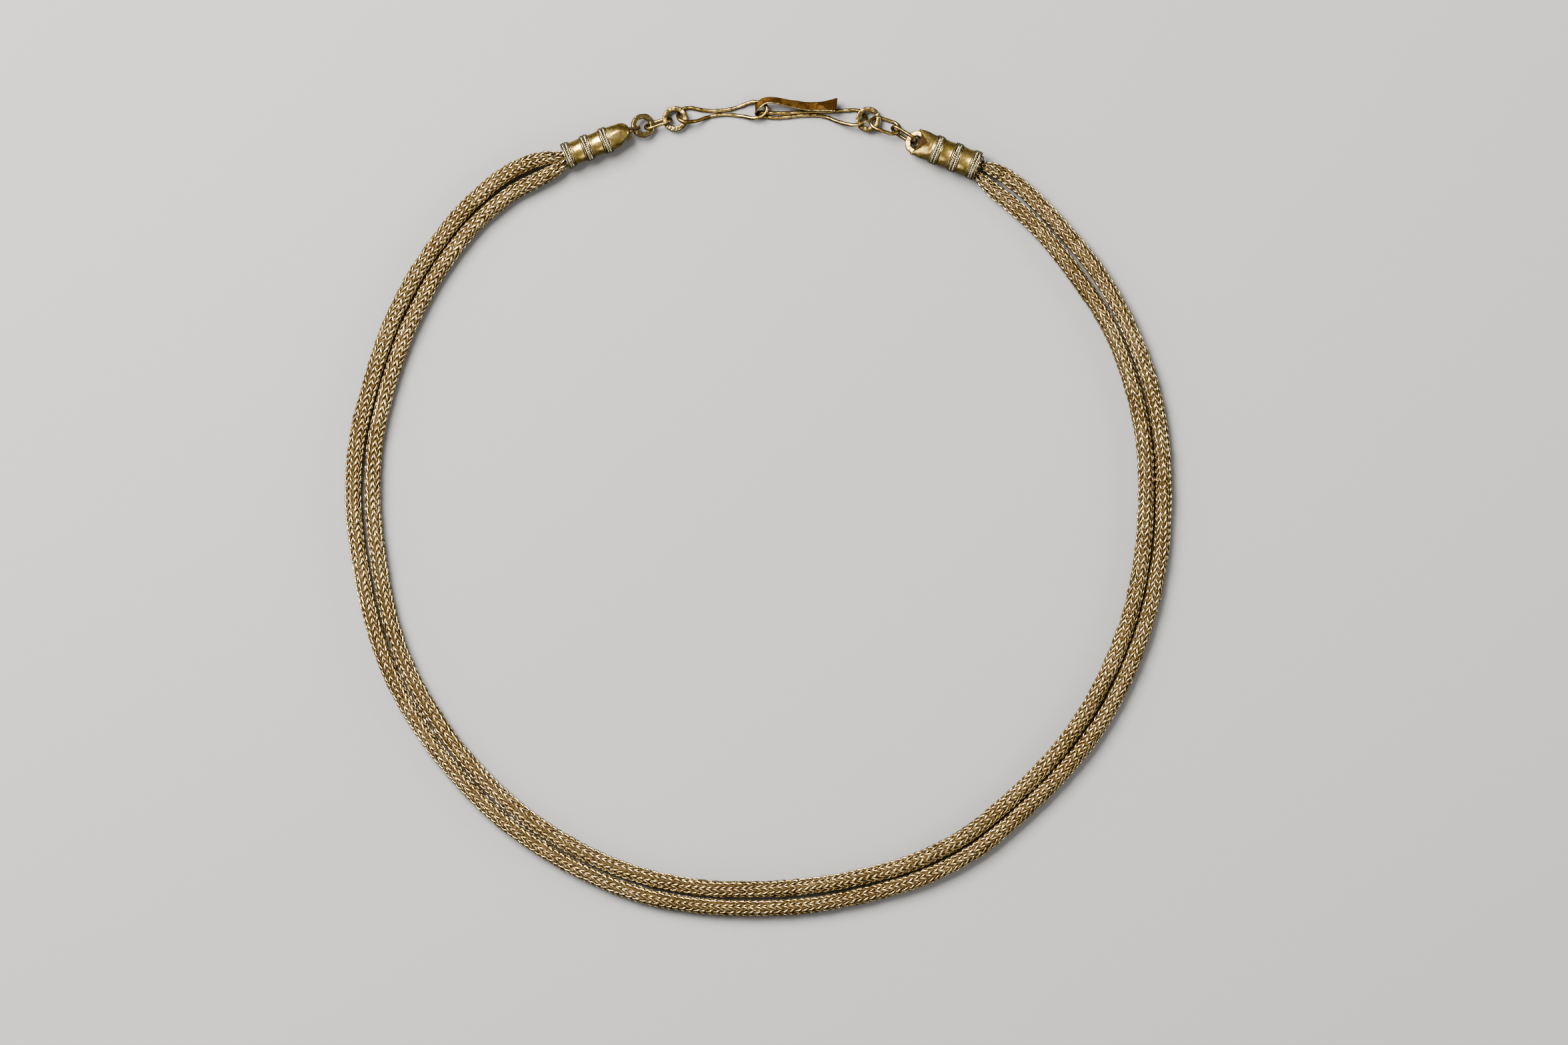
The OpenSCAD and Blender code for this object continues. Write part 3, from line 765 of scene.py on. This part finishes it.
@dataclass
class LeftCap(BandedCap):
    """The left cap: a round nose, dented on its lower side, with a strap loop on its tip."""

    # The nose: distance along, radius
    NOSE = (
        (8.1, 1.93), (8.5, 1.9), (9, 1.87), (9.5, 1.85), (10, 1.83), (10.3, 1.81), (10.6, 1.74),
        (10.85, 1.64), (11.05, 1.5), (11.2, 1.36), (11.35, 1.18), (11.47, 0.98), (11.55, 0.75),
        (11.6, 0.4), (11.61, 0.01),
    )
    # Flat dents: a point on each and the direction that it faces
    DENTS = (
        ((9.2, -1.9, 0.0), (0.6, -0.8, 0.0)),
        ((10.0, -0.1, 1.62), (0.16, -0.2, 0.97)),
        ((10.6, 1.2, 0.9), (0.5, 0.55, 0.67)),
    )
    # The strap loop: distance along, height
    LOOP = (
        (11.2, 0.25), (11.65, 0.38), (12.1, 0.37), (12.9, 0.35), (13.2, 0.2), (13.26, -0.35), (13.2, -0.9),
        (12.95, -1.06), (12.0, -1.06), (11.75, -0.9), (11.5, -0.5), (11.2, -0.2),
    )
    LOOP_HALF_WIDTH, LOOP_T = 0.25, 0.2
    # The torn flake: its middle line, and steps along it with its half width at each
    FLAKE = (
        (10.5, -1.5, 0.35), (10.9, -1.2, 0.5), (11.35, -0.85, 0.6), (11.5, -0.5, 0.55), (11.9, -0.2, 0.5),
    )
    FLAKE_WIDTHS = ((0, 4, 9, 13, 16), (0.04, 0.17, 0.14, 0.2, 0.16))
    FLAKE_T = 0.14

    def bent(self, points: Array) -> Array:
        """Presses the flat dents into the nose.

        Args:
            points: the body's points.

        Returns:
            The points after that.
        """
        for at, facing in self.DENTS:
            facing = unit(np.array(facing))
            over = (points - np.array(at)) @ facing
            reach = ease(points[..., 0], 8.2, 9.2)
            sunk = np.maximum(over, 0) + 0.04 * np.log1p(np.exp(-np.abs(over) / 0.06))
            points = points - (np.where(over > -0.3, sunk, 0) * reach)[..., None] * facing
        return points

    def strap_loop(self) -> None:
        """Makes the flat loop through the ring, and the flake that is torn up beside it."""
        x, z = np.array(self.LOOP).T
        path = smooth(np.stack([x, 0.35 - 0.4 * ease(x, 11.3, 13.1), z], -1), 4)
        half_width = self.LOOP_HALF_WIDTH - 0.03 * np.sin(np.linspace(0, 9, len(path)))
        travel = directions(path)
        side = facing_y(travel)
        loop = drawn_along(path, strip_outline(2 * half_width, self.LOOP_T), side, np.cross(travel, side))
        path = smooth(self.FLAKE, 4)
        half_width = np.interp(np.arange(len(path)), *self.FLAKE_WIDTHS)
        flake = drawn_along(path, strip_outline(2 * half_width, self.FLAKE_T), *untwisted(path))
        shape = Shape().grid(loop, 0.6).grid(flake, np.linspace(-0.6, 0.5, len(path))[:, None])
        self.put("loop", shape, CRUSTED_SHEET)

    def build(self) -> None:
        """Makes the body, the bands, the strap loop and the torn flake."""
        nose = [(x, radius, 0.12 if x > 8.2 else 0.5) for x, radius in self.NOSE]
        bottom = [(10.2, 0.01, 1.0), (10.2, 0.7, 1.0), (8.6, self.waist_r - self.sheet_t, 1.0)]
        self.sheet(nose, bottom)
        self.bands()
        self.strap_loop()


@dataclass
class FlatRing(Piece):
    """A ring of flat hammered strip.

    join is the bearing in degrees of the groove where its ends meet, or None for a closed ring, and
    pits has the bearing in degrees, distance from the middle and radius of each pit in its top face.
    """

    outer_d: float
    seed: int
    join: float | None = None
    pits: tuple[Triple, ...] = ()
    band: float = 0.84
    thickness: float = 0.7

    SLOT = "ring_gold"
    # Half width of the join's groove in degrees, its depth and its grime
    GROOVE_HALF, GROOVE_DEPTH, GROOVE_GRIME = 2.6, 0.12, 0.9
    # A pit's depth and grime, and its raised edge's height, rubbing, place and width in pit radii
    PIT_DEPTH, PIT_GRIME = 0.17, 0.9
    EDGE_RISE, EDGE_RUBBED, EDGE_AT, EDGE_WIDTH = 0.05, 0.8, 1.3, 0.35

    def shape(self) -> Shape:
        """Makes the ring about its middle, with softened edges, hammer marks, its join and its pits.

        Returns:
            The shape.
        """
        turn = turn_steps(120)
        side = np.stack([np.cos(turn), np.sin(turn), 0 * turn], -1)
        down = np.broadcast_to((0, 0, -1.0), side.shape)
        path = (self.outer_d - self.band) / 2 * side
        rows = drawn_along(path, strip_outline(self.band, self.thickness, 26, (0.5, 0.42)), side, down)
        marks = beaten(rows, self.seed, (0.018, 0.9), (0.01, 0.4))
        grime_and_painted_light = np.zeros(rows.shape[:2])
        if self.join is not None:
            off = np.abs((np.degrees(turn) - self.join + 180) % 360 - 180)
            groove = np.exp(-((off / self.GROOVE_HALF) ** 2))[:, None]
            marks -= self.GROOVE_DEPTH * groove
            grime_and_painted_light += self.GROOVE_GRIME * groove
        rows = rows - unit(path[:, None] - rows) * marks[..., None]
        for bearing, distance, pit_r in self.pits:
            bearing = np.radians(bearing)
            middle = distance * np.array([np.cos(bearing), np.sin(bearing)])
            near = np.linalg.norm(rows[..., :2] - middle, axis=-1) / pit_r
            top = rows[..., 2] > 0
            pit = np.exp(-near ** 2) * top
            edge = np.exp(-((near - self.EDGE_AT) / self.EDGE_WIDTH) ** 2) * top
            rows[..., 2] += self.EDGE_RISE * edge - self.PIT_DEPTH * pit
            grime_and_painted_light += self.PIT_GRIME * pit - self.EDGE_RUBBED * edge
        return Shape().grid(rows, np.clip(grime_and_painted_light, -1, 1), closed=True)

    def build(self) -> None:
        """Makes the ring."""
        self.put("strip", self.shape(), RING_STRIP)


@dataclass
class RightCap(BandedCap):
    """The right cap: a nose pressed flat, torn open on top, that grips a flat ring eye."""

    nose_end: float = 11.1
    nose_rise: float = 0.06
    tip_half_width: float = 2.3
    tip_half_height: float = 0.52
    tip_drop: float = 0.6
    tear_point: tuple[float, float] = (9.1, -0.5)
    mouth_centre_x: float = 11.7
    mouth_r: float = 1.15
    eye_place: Placement = Placement((10.67, 0.1, -0.75), (0, 15, 0))
    eye_d: float = 4.06
    eye_band: float = 0.98
    eye_t: float = 0.6
    lining_t: float = 0.1

    # Free edge of the torn lining, as distance along and across
    LINING_EDGE = (
        (11.0, -2.05), (10.75, -1.65), (10.5, -1.1), (10.55, -0.45), (10.4, 0.2), (10.5, 0.85),
        (10.75, 1.35), (10.95, 1.9),
    )
    # Rows along the nose's sheet and along the lining
    NOSE_ROWS, LINING_ROWS = 18, 9

    def round_r(self) -> float:
        """Returns the nose's radius where it is still round."""
        return self.waist_r + self.nose_rise

    def pressed(self, x: Array) -> tuple[Array, Array]:
        """Returns the share that the nose is pressed flat at distances along, and half its height there."""
        share = np.clip((x - self.nose_start()) / (self.nose_end - self.nose_start()), 0, 1)
        return share, self.round_r() + (self.tip_half_height - self.round_r()) * share ** 0.9

    def nose_section(self, x: Array, angle: Array, inset: float) -> Array:
        """Finds places on the nose's skin, which goes from round to flat.

        Args:
            x: distance of each along the cap.
            angle: angle about the nose's middle.
            inset: depth under the outside.

        Returns:
            The places.
        """
        share, half_height = self.pressed(x)
        half_width = self.round_r() + (self.tip_half_width - self.round_r()) * share - inset
        half_height = np.maximum(half_height - inset, 0.06)
        z = half_height * np.sin(angle) - self.tip_drop * share
        return np.stack([x, half_width * np.cos(angle), z], -1)

    def nose(self) -> None:
        """Makes the nose as a sheet with an inside, an outside and torn ends."""
        angle = turn_steps(120)
        y = self.tip_half_width * np.cos(angle)
        # The tear on top comes to a point, and the mouth's round notch is below
        point_x, point_y = self.tear_point
        lower = (y + self.tip_half_width) / (point_y + self.tip_half_width)
        upper = (self.tip_half_width - y) / (self.tip_half_width - point_y)
        tear = np.clip(np.minimum(lower, upper), 0, 1)
        ragged = 0.07 * np.sin(9 * angle) + 0.04 * np.sin(23 * angle + 1)
        torn = self.nose_end - (self.nose_end - point_x) * tear + ragged * tear
        mouth = self.mouth_centre_x - np.sqrt(np.clip(self.mouth_r ** 2 - y * y, 0, None))
        plain = np.where(np.abs(y) < self.mouth_r, np.minimum(mouth, self.nose_end), self.nose_end)
        ends = np.where(np.sin(angle) > 0.05, torn, plain)
        start = self.nose_start() - 0.3
        share = np.linspace(0, 1, self.NOSE_ROWS)[:, None]
        x = start + (ends - start) * share
        outer = self.nose_section(x, angle, 0.0)
        inner = self.nose_section(x, angle, self.sheet_t * 0.7)
        marks = beaten(outer, self.seed + 5, (0.03, 1.4)) * ease(share, 0.05, 0.3)
        outer = outer + unit(outer * (0, 1, 1)) * marks[..., None]
        rim = (outer[-1:] + inner[-1:]) / 2 + np.array([0.04, 0, 0])
        grime_and_painted_light = np.repeat([0.1, -0.8, 0.75], [self.NOSE_ROWS, 1, self.NOSE_ROWS])[:, None]
        rows = np.concatenate([outer, rim, inner[::-1]])
        self.put("nose", Shape().grid(rows, grime_and_painted_light, closed=True), CAP_SHEET)

    def lining(self) -> None:
        """Makes the torn inner sheet that lies over the ring eye and runs back under the tear."""
        edge_x, y = smooth(self.LINING_EDGE, 4).T[..., None]
        back = np.linspace(0, 1, self.LINING_ROWS)
        point_x, point_y = self.tear_point
        off = np.abs(y - point_y) / (self.tip_half_width + np.abs(point_y))
        under_x = point_x + (self.nose_end - point_x) * np.clip(off * 1.15, 0, 1) - 0.4
        x = edge_x + (under_x - edge_x) * back
        share, half_height = self.pressed(x)
        dome = np.sqrt(np.clip(1 - (y / self.tip_half_width) ** 2, 0, 1))
        roof = half_height * dome - self.tip_drop * share - 0.3
        # The ring eye's top, which leans as the eye does
        ring_top = -0.37 + 0.27 * (self.eye_place.at[0] - x)
        z = np.minimum(ring_top + (roof - ring_top) * back ** 1.3, roof)
        top = np.stack(np.broadcast_arrays(x, y, z), -1)
        top[..., 2] += beaten(top, self.seed + 7, (0.05, 0.8))
        under = top[:, ::-1] - (0, 0, self.lining_t)
        soil_and_shade = 0.4 + 0.5 * back
        shape = Shape().grid(np.concatenate([top, under], 1), np.concatenate([soil_and_shade, soil_and_shade[::-1]]))
        self.put("lining", shape, CRUSTED_SHEET)

    def build(self) -> None:
        """Makes the body, the bands, the torn nose, its lining and the ring eye."""
        waist = self.waist_r
        nose = [(8.05, waist + 0.02, 0.2), (8.3, waist - 0.12, 0.5), (9.05, 0.9, 1.0), (9.15, 0.01, 1.0)]
        bottom = [(9.0, 0.01, 1.0), (8.9, 0.6, 1.0), (7.9, waist - self.sheet_t, 1.0)]
        seed = self.seed + 9
        eye = FlatRing(self.node, self.place, self.eye_d, seed, None, (), self.eye_band, self.eye_t)
        self.sheet(nose, bottom)
        self.bands()
        self.nose()
        self.lining()
        self.put("ring_eye", eye.shape().place(self.eye_place), RING_STRIP)


@dataclass
class OvalLink(Piece):
    """A link of round wire with straight sides."""

    length: float
    width: float
    wire_d: float
    seed: int

    def build(self) -> None:
        """Makes the link."""
        bend_r = (self.width - self.wire_d) / 2
        straight = (self.length - self.width) / 2
        turn = np.radians(np.linspace(-90, 90, 13))
        right = np.stack([straight + bend_r * np.cos(turn), bend_r * np.sin(turn), 0 * turn], -1)
        left = right * (-1, -1, 1)
        share = np.linspace(0.2, 0.8, 4)[:, None]
        upper = right[-1] + (left[0] - right[-1]) * share
        lower = left[-1] + (right[0] - left[-1]) * share
        path = np.vstack([right, upper, left, lower])
        wire = Shape().wire(path, self.wire_d, 14, True, (self.seed, 0.018, 0.9), 0.05)
        self.put("wire", wire, CLASP_WIRE)


@dataclass
class ClaspWire(Piece):
    """A long loop of hammered wire, for the eye and for the hook."""

    route: tuple[tuple[float, ...], ...]
    closed: bool
    seed: int
    wire_d: float = 0.62
    rest_height: float = 0.34

    def build(self) -> None:
        """Makes the wire along its route."""
        path = smooth([(*at, self.rest_height)[:3] for at in self.route], 5, self.closed)
        wire = Shape().wire(path, self.wire_d, 14, self.closed, (self.seed, 0.02, 1.1), 0.04)
        self.put("wire", wire, CLASP_WIRE)


@dataclass
class HookWire(ClaspWire):
    """The hook: its wire, the flat strap that is bent back over it, and the strap's rim."""

    strap_t: float = 0.28
    rim_d: float = 0.3
    # How far the rim's middle lies in from the strap's edge, and above the strap's middle
    rim_inset: float = 0.08
    rim_rise: float = 0.05

    def build(self) -> None:
        """Makes the wire, the strap and the rim along its front edge, upset round, rubbed bright and given
        the paler strip finish: wear, and also a painted highlight along the edge.
        """
        super().build()
        route = smooth(STRAP_ROUTE, 5)
        path, width, lean = route[:, :3], route[:, 3], np.radians(route[:, 4:])
        travel = directions(path)
        level = facing_y(travel)
        face = np.cross(travel, level)
        side = np.cos(lean) * level - np.sin(lean) * face
        over = np.cos(lean) * face + np.sin(lean) * level
        rows = drawn_along(path, strip_outline(width, self.strap_t), side, over)
        self.put("strap", Shape().grid(rows, 0.1), CRUSTED_SHEET)
        edge = path - side * (width[:, None] / 2 - self.rim_inset) + self.rim_rise * over
        # The rim is rubbed and has the paler strip finish: wear, and also a painted highlight along the
        # strap's edge
        rim = Shape().wire(edge, self.rim_d, 8, dents=(self.seed + 2, 0.02, 0.8), grime_and_painted_light=-0.4)
        self.put("strap_rim", rim, RING_STRIP)


@dataclass
class EndPin(Piece):
    """The silver wire that holds the chains' ends in the right cap's mouth."""

    wire_d: float = 0.26

    SLOT = "silver_wire"
    # From inside the rim, round in front of the chains' ends and down under them
    ROUTE = (
        (0.55, -1.45, 0.1), (0.1, -1.74, 0.3), (-0.35, -1.66, 0.4), (-0.72, -1.33, 0.35),
        (-0.94, -0.9, 0.15), (-1.05, -0.4, -0.3), (-1.1, 0.1, -0.9), (-0.95, 0.6, -1.25),
        (-0.6, 1.2, -1.3), (-0.1, 1.55, -1.3),
    )

    def build(self) -> None:
        """Makes the bowed wire."""
        wire = Shape().wire(smooth(self.ROUTE, 5), self.wire_d, 8, dents=(4, 0.01, 1.5))
        self.put("wire", wire, SILVER_WIRE)


@dataclass
class Studio:
    """A pale floor, soft lights and the camera of the photograph."""

    camera_height: float = 1500.0
    sensor: float = 36.0
    floor_half: float = 4000.0

    # Soft lights: name, place, side and power in watts. The key stands where the caps' highlights point.
    SOFTBOXES = (
        ("key", (-370, 390, 690), 520, 17.5),
        ("left_strip", (-700, 40, 260), 300, 1.0),
        ("right_strip", (700, 40, 260), 300, 2.5),
        ("low_strip", (0, -760, 380), 500, 1.5),
    )

    def build(self) -> None:
        """Makes the floor, the lights, the world and the camera."""
        self.floor()
        self.lights()
        self.air()
        bpy.context.scene.view_settings.view_transform = "AgX"
        bpy.context.scene.view_settings.look = "AgX - High Contrast"
        self.camera()

    def air(self) -> None:
        """Makes the studio's own light, soft from above and dark from below, which gold's sides mirror."""
        world = bpy.data.worlds.new("studio_air")
        world.use_nodes = True
        tree = world.node_tree
        tree.nodes.clear()
        direction = add_node(tree, "TexCoord", out="Generated")
        height = add_node(tree, "SeparateXYZ", {0: direction}, out="Z")
        strength = add_node(tree, "MapRange", {
            "Value": height, "From Min": -0.1, "From Max": 0.95, "To Min": 0.14, "To Max": 0.48,
        })
        light = add_node(tree, "Background", {"Color": linear("#DCDEE2"), "Strength": strength})
        add_node(tree, "OutputWorld", {"Surface": light})
        bpy.context.scene.world = world

    def floor(self) -> None:
        """Makes the plain floor."""
        mesh = bpy.data.meshes.new("floor")
        reach = self.floor_half * MM
        corners = [(-reach, -reach, 0), (reach, -reach, 0), (reach, reach, 0), (-reach, reach, 0)]
        mesh.from_pydata(corners, [], [(0, 1, 2, 3)])
        # Matte card: a plain pale ground that carries only soft shadows
        material = bpy.data.materials.new("matte_card")
        material.use_nodes = True
        shader = material.node_tree.nodes["Principled BSDF"]
        shader.inputs["Base Color"].default_value = linear("#989693")
        shader.inputs["Roughness"].default_value = 0.9
        mesh.materials.append(material)
        floor = bpy.data.objects.new("floor", mesh)
        bpy.context.scene.collection.objects.link(floor)
        # The gold's sides mirror the dark of the studio, as in the photograph, and not the card
        floor.visible_glossy = False

    def lights(self) -> None:
        """Makes the soft square lights, which face the necklace."""
        for name, at, size, watts in self.SOFTBOXES:
            light = bpy.data.lights.new(name, "AREA")
            light.size = size * MM
            light.energy = watts
            lamp = bpy.data.objects.new(name, light)
            lamp.location = Vector(at) * MM
            lamp.rotation_euler = (-lamp.location).to_track_quat("-Z", "Y").to_euler()
            bpy.context.scene.collection.objects.link(lamp)

    def camera(self) -> None:
        """Makes the camera, which looks straight down with the photograph's frame."""
        data = bpy.data.cameras.new("camera")
        data.sensor_width = self.sensor
        data.lens = self.sensor * self.camera_height / (PHOTO_SIZE[0] * MM_PER_PIXEL)
        data.clip_end = 20.0
        camera = bpy.data.objects.new("camera", data)
        x = (PHOTO_SIZE[0] / 2 - ORIGIN_PIXEL[0]) * MM_PER_PIXEL
        y = (ORIGIN_PIXEL[1] - PHOTO_SIZE[1] / 2) * MM_PER_PIXEL
        camera.location = Vector((x, y, self.camera_height)) * MM
        bpy.context.scene.collection.objects.link(camera)
        bpy.context.scene.camera = camera


def main() -> None:
    """Builds the studio and every piece of the necklace, in order."""
    logging.basicConfig(level=logging.INFO, format="%(message)s")
    Studio().build()
    here = Placement()
    WovenChain("outer_chain", here, 1, 1.11, 3).build()
    WovenChain("inner_chain", here, 2, 1.15, 8).build()
    plus, minus = Braid.TO_PLUS_Y, Braid.TO_MINUS_Y
    left_place = Placement((-31.9, 57.7, 2.25), (0, 0, 21.8))
    right_place = Placement((36.15, 56.1, 2.5), (0, 0, 158.1))
    LeftCap("left_cap", left_place, 2.25, 1.87, (plus, plus, plus), 11).build()
    RightCap("right_cap", right_place, 2.5, 2.15, (minus, plus, plus), 12).build()
    EndPin("right_end_pin", right_place).build()
    FlatRing("left_cap_ring", Placement((-19, 62.85, 1.45), (0, 17, 21.8)), 3.96, 21).build()
    left_ring_place = Placement((-13.7, 64, 1.06), (0, -3, 0))
    FlatRing("left_large_ring", left_ring_place, 4.18, 22, 130, LARGE_RING_PITS).build()
    FlatRing("right_large_ring", Placement((18.15, 63.9, 1.07), (0, 0, 0)), 4.18, 23, 35).build()
    links = (
        ("left_small_link", Placement((-16.55, 63.25, 1.03), (114, 0, 18.5)), 4.9, 2.3, 0.55, 31),
        ("right_oval_link", Placement((20.92, 62.87, 1.11), (-41, 0, -18)), 5.45, 3.25, 0.6, 32),
        ("right_small_link", Placement((24, 61.37, 1.18), (61.5, -8, -32)), 5.05, 2.25, 0.55, 33),
    )
    for link in links:
        OvalLink(*link).build()
    ClaspWire("eye_link", here, EYE_ROUTE, True, 41).build()
    HookWire("hook", here, HOOK_ROUTE, False, 42).build()
    # The left pin is hidden and keeps its CAD shape
    pin_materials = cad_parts["left_end_pin"].data.materials
    pin_materials.clear()
    pin_materials.append(SILVER_WIRE.material())


if __name__ == "__main__":
    main()
